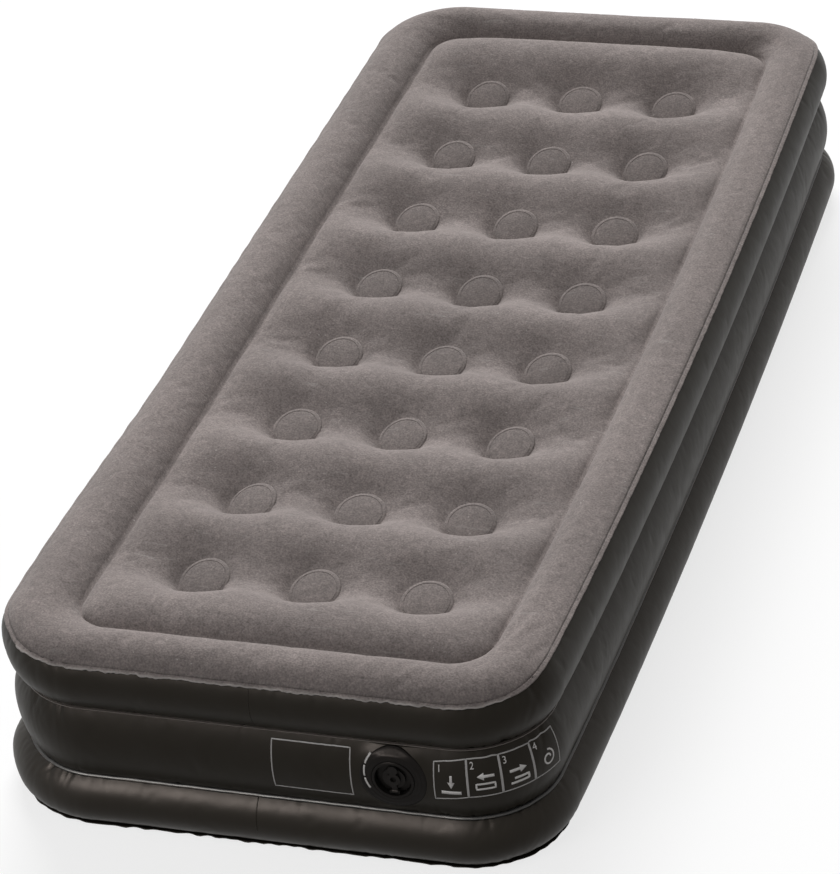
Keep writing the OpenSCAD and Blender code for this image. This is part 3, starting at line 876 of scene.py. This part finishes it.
def tuftTree():
    # domed disc with a weld ring, at every point
    tree, given, last = newTree("tuftDisc", ("Radius", "Dome", "Ring", "Ring Radius", "Ring Height"))
    ball = addNode(tree, "GeometryNodeMeshUVSphere", {
        "Segments": 48, "Rings": 20, "Radius": given.outputs["Radius"],
    })
    squash = addMath(tree, "DIVIDE", given.outputs["Dome"], given.outputs["Radius"])
    flat = addNode(tree, "ShaderNodeCombineXYZ", {"X": 1.0, "Y": 1.0, "Z": squash})
    dome = addNode(tree, "GeometryNodeTransform", {"Geometry": ball.outputs[0], "Scale": flat.outputs[0]})
    circle = addNode(tree, "GeometryNodeCurvePrimitiveCircle", {
        "Resolution": 64, "Radius": given.outputs["Ring Radius"],
    })
    bead = addNode(tree, "GeometryNodeCurvePrimitiveCircle", {
        "Resolution": 10, "Radius": given.outputs["Ring"],
    })
    ring = addNode(tree, "GeometryNodeCurveToMesh", {
        "Curve": circle.outputs[0], "Profile Curve": bead.outputs[0],
    })
    lift = addNode(tree, "ShaderNodeCombineXYZ", {"Z": given.outputs["Ring Height"]})
    raised = addNode(tree, "GeometryNodeTransform", {
        "Geometry": ring.outputs[0], "Translation": lift.outputs[0],
    })
    both = tree.nodes.new("GeometryNodeJoinGeometry")
    tree.links.new(raised.outputs[0], both.inputs[0])
    tree.links.new(dome.outputs[0], both.inputs[0])
    # discs and rings are marked to be painted lighter: partly pressed flock, partly painted light
    lightenedDiscs = addNode(tree, "GeometryNodeStoreNamedAttribute", {
        "Geometry": both.outputs[0], "Name": "wearAndPaintedLight", "Value": tuftLook["wearAndPaintedLight"],
    })
    spots = addNode(tree, "GeometryNodeMeshToPoints", {"Mesh": given.outputs["Geometry"]})
    lean = addNode(tree, "GeometryNodeInputNamedAttribute", {"Name": "lean"})
    roll = addNode(tree, "GeometryNodeInputNamedAttribute", {"Name": "roll"})
    turn = addNode(tree, "ShaderNodeCombineXYZ", {"X": lean.outputs[0], "Y": roll.outputs[0]})
    placed = addNode(tree, "GeometryNodeInstanceOnPoints", {
        "Points": spots.outputs[0], "Instance": lightenedDiscs.outputs[0], "Rotation": turn.outputs[0],
    })
    endTree(tree, given, last, placed.outputs[0])
    return tree


def startMaterial(name, roughness, specular=0.5):
    material = bpy.data.materials.new(name)
    material.use_nodes = True
    tree = material.node_tree
    shader = tree.nodes["Principled BSDF"]
    shader.inputs["Roughness"].default_value = roughness
    shader.inputs["Specular IOR Level"].default_value = specular
    where = addNode(tree, "ShaderNodeTexCoord").outputs["Object"]
    return material, tree, shader, where


def addNoise(tree, where, scale, detail=3.0, stretch=None, distortion=0.0):
    if stretch:
        where = addNode(tree, "ShaderNodeMapping", {"Vector": where, "Scale": stretch}).outputs[0]
    noise = addNode(tree, "ShaderNodeTexNoise", {
        "Vector": where, "Scale": scale, "Detail": detail, "Distortion": distortion,
    })
    return noise.outputs["Fac"]


def addRange(tree, value, low, high, start, end):
    node = addNode(tree, "ShaderNodeMapRange", {
        "Value": value, "From Min": low, "From Max": high, "To Min": start, "To Max": end,
    })
    return node.outputs["Result"]


def addMix(tree, factor, first, second, blend="MIX"):
    node = addNode(tree, "ShaderNodeMix", data_type="RGBA", blend_type=blend)
    for key, value in ((0, factor), (6, first), (7, second)):
        if isinstance(value, bpy.types.NodeSocket):
            tree.links.new(value, node.inputs[key])
        else:
            node.inputs[key].default_value = value
    return node.outputs[2]


def addBumps(tree, shader, layers):
    # layers of height, strength and distance, the last one on top
    normal = None
    for height, strength, distance in layers:
        node = addNode(tree, "ShaderNodeBump", {"Height": height, "Strength": strength, "Distance": distance})
        if normal:
            tree.links.new(normal, node.inputs["Normal"])
        normal = node.outputs[0]
    tree.links.new(normal, shader.inputs["Normal"])


def grey(level, warm=0.06):
    return (level * (1 + warm), level * (1 - warm / 4), level * (1 - warm), 1)


flockLook = {
    "shade": (0.198, 0.1685, 0.16),
    "roughness": 0.92,
    "specular": 0.15,
    "patchScale": 5.0,
    "tone": 0.1,
    "napScale": 55.0,
    "brush": 0.15,
    "grainScale": 360.0,
    "fibre": 0.4,
    "sheen": 0.18,
    "lintScale": 60.0,
    "lint": 0.65,
    "scuffStretch": (22.0, 150.0, 60.0),
    "scuff": 0.3,
    "wearAndPaintedLight": 0.85,
}


def makeFlock():
    look = flockLook
    material, tree, shader, where = startMaterial("flock", look["roughness"], look["specular"])
    patches = addNoise(tree, where, look["patchScale"], 5.0)
    nap = addNoise(tree, where, look["napScale"], 8.0, distortion=1.4)
    grain = addNoise(tree, where, look["grainScale"], 5.0)
    tone = addRange(tree, patches, 0.3, 0.7, 1 - look["tone"], 1 + look["tone"])
    brushed = addRange(tree, nap, 0.3, 0.7, 1 - look["brush"], 1 + look["brush"])
    fibre = addRange(tree, grain, 0.25, 0.75, 1 - look["fibre"], 1 + look["fibre"])
    factor = addMath(tree, "MULTIPLY", addMath(tree, "MULTIPLY", tone, brushed), fibre)
    shade = addScale(tree, look["shade"], factor)
    # lint specks and faint scuffs
    speck = addNode(tree, "ShaderNodeTexVoronoi", {"Vector": where, "Scale": look["lintScale"]})
    speck = addRange(tree, speck.outputs["Distance"], 0.05, 0.09, 1.0, 0.0)
    sparse = addRange(tree, addNoise(tree, where, 9.0, 2.0), 0.52, 0.62, 0.0, look["lint"])
    shade = addMix(tree, addMath(tree, "MULTIPLY", speck, sparse), shade, grey(0.42))
    scuff = addNoise(tree, where, 1.0, 4.0, look["scuffStretch"], 0.6)
    scuff = addRange(tree, scuff, 0.63, 0.72, 0.0, look["scuff"])
    shade = addMix(tree, scuff, shade, grey(0.32))
    # painted lighter on the lip's hem and the tuft discs: a painted highlight and painted light, partly wear
    wearAndPaintedLight = addNode(tree, "ShaderNodeAttribute", attribute_name="wearAndPaintedLight").outputs["Fac"]
    wearAndPaintedLight = addRange(tree, wearAndPaintedLight, 0.0, 1.0, 0.0, look["wearAndPaintedLight"])
    shade = addMix(tree, wearAndPaintedLight, shade, grey(0.5))
    tree.links.new(shade, shader.inputs["Base Color"])
    shader.inputs["Sheen Weight"].default_value = look["sheen"]
    shader.inputs["Sheen Roughness"].default_value = 0.45
    shader.inputs["Sheen Tint"].default_value = (0.95, 0.92, 0.9, 1)
    addBumps(tree, shader, [
        (nap, 0.12, 0.004),
        (grain, 0.6, 0.0009),
    ])
    return material


vinylLook = {
    "shade": (0.0175, 0.0155, 0.0118),
    "dust": 0.0036,
    "dustScale": 12.0,
    "roughness": (0.41, 0.47),
    "specular": 0.11,
    "tint": (1.0, 0.86, 0.78, 1.0),
    "streaks": (150.0, 150.0, 14.0),
}
# What each film has in place of those values
filmLooks = {
    "vinyl": {},
    "lowVinyl": {"specular": 0.16},
    # the seam film is painted lighter than the bands: a painted highlight along the low seam, on top of its
    # real higher gloss
    "seamHighlightVinyl": {"shade": (0.045, 0.045, 0.045), "specular": 0.45, "tint": (1.0, 0.95, 0.9, 1.0)},
    "tieFilm": {"shade": (0.2, 0.175, 0.16), "specular": 0.3},
}


def makeVinyl(name):
    look = {**vinylLook, **filmLooks[name]}
    shade = look["shade"]
    material, tree, shader, where = startMaterial(name, look["roughness"][0], look["specular"])
    shader.inputs["Specular Tint"].default_value = look["tint"]
    streaks = addNoise(tree, where, 1.0, 3.0, look["streaks"])
    blotch = addNoise(tree, where, look["dustScale"], 4.0)
    dust = addRange(tree, blotch, 0.45, 0.75, 0.0, 1.0)
    colour = addMix(tree, dust, (*shade, 1), (*(c + look["dust"] for c in shade), 1))
    tree.links.new(colour, shader.inputs["Base Color"])
    rough = addRange(tree, addNoise(tree, where, 40.0, 4.0), 0.3, 0.7, *look["roughness"])
    tree.links.new(rough, shader.inputs["Roughness"])
    addBumps(tree, shader, [
        (streaks, 0.12, 0.0012),
        (addNoise(tree, where, 1100.0, 1.0), 0.08, 0.0003),
    ])
    return material


plasticSpecular = 0.09
# Shade and roughness of the valve's plastics
plasticLooks = {"blackPlastic": (0.006, 0.42), "capPlastic": (0.012, 0.45), "sealRubber": (0.015, 0.7)}


def makePlastic(name):
    # moulded plastic with a fine spark texture and handling marks
    shade, roughness = plasticLooks[name]
    material, tree, shader, where = startMaterial(name, roughness, plasticSpecular)
    shader.inputs["Specular Tint"].default_value = vinylLook["tint"]
    marks = addRange(tree, addNoise(tree, where, 120.0, 4.0), 0.3, 0.75, 0.85, 1.25)
    tree.links.new(addScale(tree, grey(shade)[:3], marks), shader.inputs["Base Color"])
    rough = addRange(tree, addNoise(tree, where, 300.0, 3.0), 0.3, 0.7, roughness - 0.06, roughness + 0.1)
    tree.links.new(rough, shader.inputs["Roughness"])
    addBumps(tree, shader, [(addNoise(tree, where, 2500.0, 1.0), 0.15, 0.0001)])
    return material


inkShades = {"whiteInk": 0.75, "greyInk": 0.5}


def makeInk(name):
    # screen print, a little broken where the ink is thin
    shade = inkShades[name]
    material, tree, shader, where = startMaterial(name, 0.5, 0.3)
    thin = addRange(tree, addNoise(tree, where, 900.0, 3.0), 0.62, 0.72, 0.0, 0.5)
    tree.links.new(addMix(tree, thin, grey(shade, 0.03), grey(shade * 0.35)), shader.inputs["Base Color"])
    addBumps(tree, shader, [(addNoise(tree, where, 1500.0, 1.0), 0.1, 0.0001)])
    return material


flock = makeFlock()
vinyl, lowVinyl, seamHighlightVinyl, tieFilm = (makeVinyl(name) for name in filmLooks)
blackPlastic, capPlastic, sealRubber = (makePlastic(name) for name in plasticLooks)
whiteInk, greyInk = (makeInk(name) for name in inkShades)


def paint(piece, material):
    piece.data.materials.clear()
    piece.data.materials.append(material)


for piece in (top, lip):
    paint(piece, flock)
for piece in (base, *bands.values()):
    paint(piece, vinyl)
paint(bands["lowerBand"], lowVinyl)
for piece in ties:
    paint(piece, tieFilm)
for node, material in (
    ("valve_socket", blackPlastic), ("valve_mouth", blackPlastic), ("flap_cage", blackPlastic),
    ("valve_cap", capPlastic), ("mouth_seal", sealRubber), ("check_flap", sealRubber),
):
    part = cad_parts[node]
    for n in range(max(1, len(part.material_slots))):
        if part.material_slots:
            part.material_slots[n].material = material
        else:
            part.data.materials.append(material)
print("materials made")

seamLook = {
    "lowSeam": {"inset": 0.0235, "height": 0.081, "width": 0.009, "finish": seamHighlightVinyl},
    "highSeam": {"inset": 0.0275, "height": 0.196, "width": 0.0024, "finish": vinyl},
}
seamSizes = {"Thickness": 0.0022, "Ripple": 0.0018, "Wavelength": 0.03}
seamStations = (260, 640, 40)  # across, along and at half a corner


def makeSeam(name, tree):
    look = seamLook[name]
    walk = walkRound(*seamStations)
    ring = np.column_stack((pathPoints(walk, -look["inset"]), np.full(len(walk[0]), look["height"])))
    mesh = bpy.data.meshes.new(name)
    n = len(ring)
    mesh.from_pydata([tuple(p) for p in settle(ring)], [(i, (i + 1) % n) for i in range(n)], [])
    return growTree(addObject(name, mesh), tree, {"Width": look["width"], **seamSizes}, look["finish"])


seams = [makeSeam(name, seamTree()) for name in seamLook]


def makeTufts():
    spots = np.column_stack((tuftCentres, np.full(len(tuftCentres), tuftLook["height"])))
    piece = newPiece("tufts", settle(spots), [])
    for name, angles in (("lean", tuftLean), ("roll", -tuftRoll)):
        turn = piece.data.attributes.new(name, "FLOAT", "POINT")
        turn.data.foreach_set("value", angles.astype(np.float32))
    share = tuftLook["ringShare"]
    sizes = {
        "Radius": tuftLook["radius"],
        "Dome": tuftLook["dome"],
        "Ring": tuftLook["ring"],
        "Ring Radius": tuftLook["radius"] * share,
        "Ring Height": tuftLook["dome"] * math.sqrt(1 - share * share),
    }
    return growTree(piece, tuftTree(), sizes, flock)


tufts = makeTufts()
print("seams and tufts made")


def surfaceOf(*pieces):
    work = bmesh.new()
    for piece in pieces:
        work.from_mesh(piece.data)
    tree = BVHTree.FromBMesh(work)
    work.free()
    return tree


def onBand(surface, along, height, lift):
    # point on a band, at a distance along the edge from the middle of the foot end
    start = bed["halfWidth"] - bed["cornerRadius"]
    turn = min(max((abs(along) - start) / bed["cornerRadius"], 0), math.pi / 2)
    past = max(abs(along) - start - bed["cornerRadius"] * math.pi / 2, 0)
    angle = turn - math.pi / 2
    side = 1 if along > 0 else -1
    out = np.array((math.cos(angle) * side, math.sin(angle), 0))
    middle = np.array((side * min(abs(along), start), bed["cornerRadius"] - bed["halfLength"] + past, height))
    origin = settle(middle + out * (bed["cornerRadius"] + 0.05))
    hit, normal, _, _ = surface.ray_cast(Vector(origin), Vector(-out), 0.2)
    return np.array(hit + normal * lift)


def makeFlange(surface):
    # ridged flange welded on the film round the socket
    nRound, nRings = valve["flangeRound"], valve["flangeRings"]
    edge = valve["edgeShare"]
    angles = 2 * math.pi * np.arange(nRound) / nRound
    rings = []
    for n in range(nRings + 1):
        share = n / nRings
        reach = valve["socket"] + valve["flangeGap"] + (valve["flange"] - valve["socket"]) * share
        lift = valve["flangeLift"] * (1 - easeIn((share - edge) / (1 - edge)) * valve["edgeCut"])
        lift += valve["ridge"] * math.sin(math.pi * valve["ridges"] * share) ** 2
        ring = []
        for angle in angles:
            x, z = valve["x"] + reach * math.cos(angle), valve["z"] + reach * math.sin(angle)
            hit, normal, _, _ = surface.ray_cast(Vector((x, -1.1, z)), Vector((0, 1, 0)), 0.3)
            ring.append(hit + normal * lift)
        rings.append(np.array(ring))
    # rings run outwards, seen from in front, so they are walked from the outside in
    piece = newPiece("valveFlange", np.vstack(rings[::-1]), ringFaces(nRings + 1, nRound))
    thicken(piece, valve["flangeFilm"])
    return piece


middleSurface = surfaceOf(bands["middleBand"])
flange = makeFlange(middleSurface)
paint(flange, blackPlastic)
printSurface = surfaceOf(bands["middleBand"], flange)
print("valve flange made")

printLook = {
    "panelStart": 0.2505,
    "panelStep": 0.0512,
    "panelFoot": 0.1265,
    "panelHead": 0.1825,
    "panels": 4,
    "line": 0.0017,
    "labelSpan": (0.0152, 0.1297),
    "labelHeights": (0.1088, 0.1824),
    "dashes": ((0.1609, 0.1819), (0.1507, 0.1584), (0.1592, 0.1254)),  # three points on the arc by the valve
    "dashCount": 3,
    "dashFill": 0.85,
    "arrow": (0.004, 0.004, 0.011, 0.0005),  # widths of the shaft's two ends, of the head and of its tip
    "stroke": 0.0026,
    "laps": (("upperBand", -0.006, 0.2, 0.268), ("lowerBand", -0.017, 0.034, 0.0785)),
    "lapWidth": 0.0016,
    "dip": 0.0055,  # how far the strip of panels dips at its start
    "numberSize": 0.014,
    "numberIn": 0.004,
    "numberDown": 0.0135,
    "lift": 0.0003,
}


def makeStroke(points, widths, surface, step=0.003):
    # inked line through points on a band, of the given widths
    points, widths = np.array(points, float), np.broadcast_to(widths, len(points)).astype(float)
    way, wide = [], []
    for n in range(len(points) - 1):
        count = max(1, math.ceil(np.linalg.norm(points[n + 1] - points[n]) / step))
        for m in range(count):
            way.append(points[n] + (points[n + 1] - points[n]) * m / count)
            wide.append(widths[n] + (widths[n + 1] - widths[n]) * m / count)
    way = np.array(way + [points[-1]])
    wide = np.array(wide + [widths[-1]])
    closed = np.allclose(way[0], way[-1])
    ahead = np.gradient(way, axis=0)
    if closed:
        ahead[0] = ahead[-1] = way[1] - way[-2]
    ahead /= np.maximum(np.linalg.norm(ahead, axis=1), 1e-9)[:, None]
    aside = np.column_stack((-ahead[:, 1], ahead[:, 0])) * wide[:, None] / 2
    rows = [[onBand(surface, *p, printLook["lift"]) for p in way + aside * k] for k in (-1, 0, 1)]
    count = len(way)
    i = np.arange(count - 1)
    faces = np.vstack([np.column_stack((i, i + 1, i + 1 + count, i + count)) + k * count for k in (0, 1)])
    return np.vstack(rows), faces


def joinStrokes(name, strokes, material):
    points, faces, first = [], [], 0
    for p, f in strokes:
        points.append(p)
        faces += (f + first).tolist()
        first += len(p)
    piece = newPiece(name, np.vstack(points), faces)
    thicken(piece, printLook["lift"])
    paint(piece, material)
    return piece


def boxPath(left, right, low, high):
    middle = (left + right) / 2
    return [(middle, low), (right, low), (right, high), (left, high), (left, low), (middle, low)]


def panelShift(along):
    return -printLook["dip"] * max(0.0, 1 - (along - printLook["panelStart"]) / printLook["panelStep"])


def makePanels(surface):
    look = printLook
    strokes = []
    for n in range(look["panels"]):
        left = look["panelStart"] + n * look["panelStep"]
        right = left + look["panelStep"]
        path = boxPath(left, right - look["line"], look["panelFoot"], look["panelHead"])
        strokes.append(makeStroke([(a, z + panelShift(a)) for a, z in path], look["line"], surface))
    left, right = look["labelSpan"]
    low, high = look["labelHeights"]
    strokes.append(makeStroke(boxPath(left, right, low, high), look["line"], surface))
    return joinStrokes("panelFrames", strokes, greyInk)


def makeMarks(surface):
    look = printLook
    strokes = []

    def mark(n, path, widths):
        left = look["panelStart"] + n * look["panelStep"]
        foot = look["panelFoot"] + panelShift(left + look["panelStep"] / 2)
        strokes.append(makeStroke([(left + a, foot + z) for a, z in path], widths, surface))

    def arrow(n, start, neck, tip):
        mark(n, [start, neck, neck, tip], look["arrow"])

    # a mat with air going in, a mat lying flat, a folded mat and a rolled one
    mark(0, [(0.010, 0.010), (0.040, 0.010)], 0.005)
    arrow(0, (0.025, 0.036), (0.025, 0.026), (0.025, 0.017))
    mark(1, [(0.012, 0.012), (0.040, 0.012), (0.040, 0.020), (0.012, 0.020), (0.012, 0.012)], 0.0028)
    arrow(1, (0.040, 0.031), (0.024, 0.031), (0.014, 0.031))
    mark(2, [(0.012, 0.010), (0.040, 0.010), (0.040, 0.017), (0.018, 0.017)], 0.0034)
    arrow(2, (0.012, 0.029), (0.028, 0.029), (0.038, 0.029))
    coil = [(0.026 + (0.004 + 0.0011 * t) * math.cos(t), 0.021 + (0.004 + 0.0011 * t) * math.sin(t))
            for t in np.linspace(0, 4.2 * math.pi / 2 + 1.2, 22)]
    mark(3, coil, look["stroke"])
    # dashes beside the valve
    middle, radius = circleThrough(*look["dashes"])
    first, last = (angleOn((middle, radius), look["dashes"][k]) % (2 * math.pi) for k in (0, 2))
    count = look["dashCount"]
    for k in range(count):
        angles = first + (last - first) * np.linspace(k / count, (k + look["dashFill"]) / count, 6)
        arc = np.column_stack((middle[0] + radius * np.cos(angles), middle[1] + radius * np.sin(angles)))
        strokes.append(makeStroke(arc, look["stroke"], surface))
    return joinStrokes("printMarks", strokes, whiteInk)


def makeLaps():
    # upright laps where the ends of the side film meet at the foot end
    strokes = []
    for name, along, low, high in printLook["laps"]:
        path = [(along, low), (along, high)]
        strokes.append(makeStroke(path, printLook["lapWidth"], surfaceOf(bands[name])))
    return joinStrokes("lapSeams", strokes, vinyl)


def makeNumbers(surface):
    look = printLook
    points, faces, first = [], [], 0
    for n in range(look["panels"]):
        text = bpy.data.curves.new("number", "FONT")
        text.body = str(n + 1)
        text.size = look["numberSize"]
        holder = addObject("number", text)
        graph = bpy.context.evaluated_depsgraph_get()
        mesh = bpy.data.meshes.new_from_object(holder.evaluated_get(graph))
        left = look["panelStart"] + n * look["panelStep"] + look["numberIn"]
        foot = look["panelHead"] - look["numberDown"] + panelShift(left)
        for v in mesh.vertices:
            points.append(onBand(surface, left + v.co.x, foot + v.co.y, look["lift"]))
        faces += [[i + first for i in p.vertices] for p in mesh.polygons]
        first += len(mesh.vertices)
        bpy.data.objects.remove(holder)
        bpy.data.curves.remove(text)
        bpy.data.meshes.remove(mesh)
    piece = newPiece("panelNumbers", points, faces, False)
    thicken(piece, look["lift"])
    paint(piece, whiteInk)
    return piece


prints = [makePanels(printSurface), makeMarks(printSurface), makeNumbers(printSurface), makeLaps()]
print("prints made")

skins = {"upperBand": "upper_band", "middleBand": "middle_band", "lowerBand": "lower_band"}
for piece in (top, lip, tufts, base, flange, *bands.values(), *seams, *prints):
    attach(piece, "bed")
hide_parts("top_sheet")
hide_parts("base_sheet")
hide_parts("valve_flange")
for name, node in skins.items():
    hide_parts(node)

stageLook = {
    "floor": 0.26,
    "glow": 0.75,
    "sky": 0.25,
    "reach": 30.0,
    "lampAim": (0, -0.2, 0.2),
    "lamps": {
        "key": {"place": (-4.2, 13.0, 9.4), "size": 9.0, "power": 3750},
        "fill": {"place": (-1.6, -3.4, 3.4), "size": 2.2, "power": 32},
        "strip": {"place": (-2.0, -3.4, 3.5), "size": 2.3, "power": 360, "glossOnly": True},
    },
}


def makeStage():
    look = stageLook
    r = look["reach"]
    floor = newPiece("floor", [(-r, -r, 0), (r, -r, 0), (r, r, 0), (-r, r, 0)], [(0, 1, 2, 3)], False)
    material = bpy.data.materials.new("paleFloor")
    material.use_nodes = True
    tree = material.node_tree
    tree.nodes.clear()
    matt = addNode(tree, "ShaderNodeBsdfDiffuse", {"Color": (look["floor"],) * 3 + (1,)})
    glow = addMath(tree, "MULTIPLY", seenRays(tree), look["glow"])
    light = addNode(tree, "ShaderNodeEmission", {"Strength": glow})
    both = addNode(tree, "ShaderNodeAddShader", {0: matt.outputs[0], 1: light.outputs[0]})
    addNode(tree, "ShaderNodeOutputMaterial", {"Surface": both.outputs[0]})
    floor.data.materials.append(material)
    world = bpy.data.worlds.new("studio")
    scene.world = world
    world.use_nodes = True
    tree = world.node_tree
    sky = tree.nodes["Background"]
    sky.inputs["Color"].default_value = (1, 1, 1, 1)
    tree.links.new(addRange(tree, seenRays(tree), 0.0, 1.0, look["sky"], 1.0), sky.inputs["Strength"])
    for name, lampLook in look["lamps"].items():
        lamp = bpy.data.lights.new(name, "AREA")
        lamp.size = lampLook["size"]
        lamp.energy = lampLook["power"]
        holder = addObject(name, lamp)
        holder.visible_diffuse = not lampLook.get("glossOnly", False)
        place = Vector(lampLook["place"])
        turn = (Vector(look["lampAim"]) - place).to_track_quat("-Z", "Y")
        holder.matrix_world = Matrix.Translation(place) @ turn.to_matrix().to_4x4()


def seenRays(tree):
    # 1 for rays that show the background to the camera, in gloss or through glass
    rays = addNode(tree, "ShaderNodeLightPath").outputs
    seen = addMath(tree, "MAXIMUM", rays["Is Camera Ray"], rays["Is Glossy Ray"])
    return addMath(tree, "MAXIMUM", seen, rays["Is Transmission Ray"])


makeStage()
scene.view_settings.view_transform = "Standard"
print("stage lit")
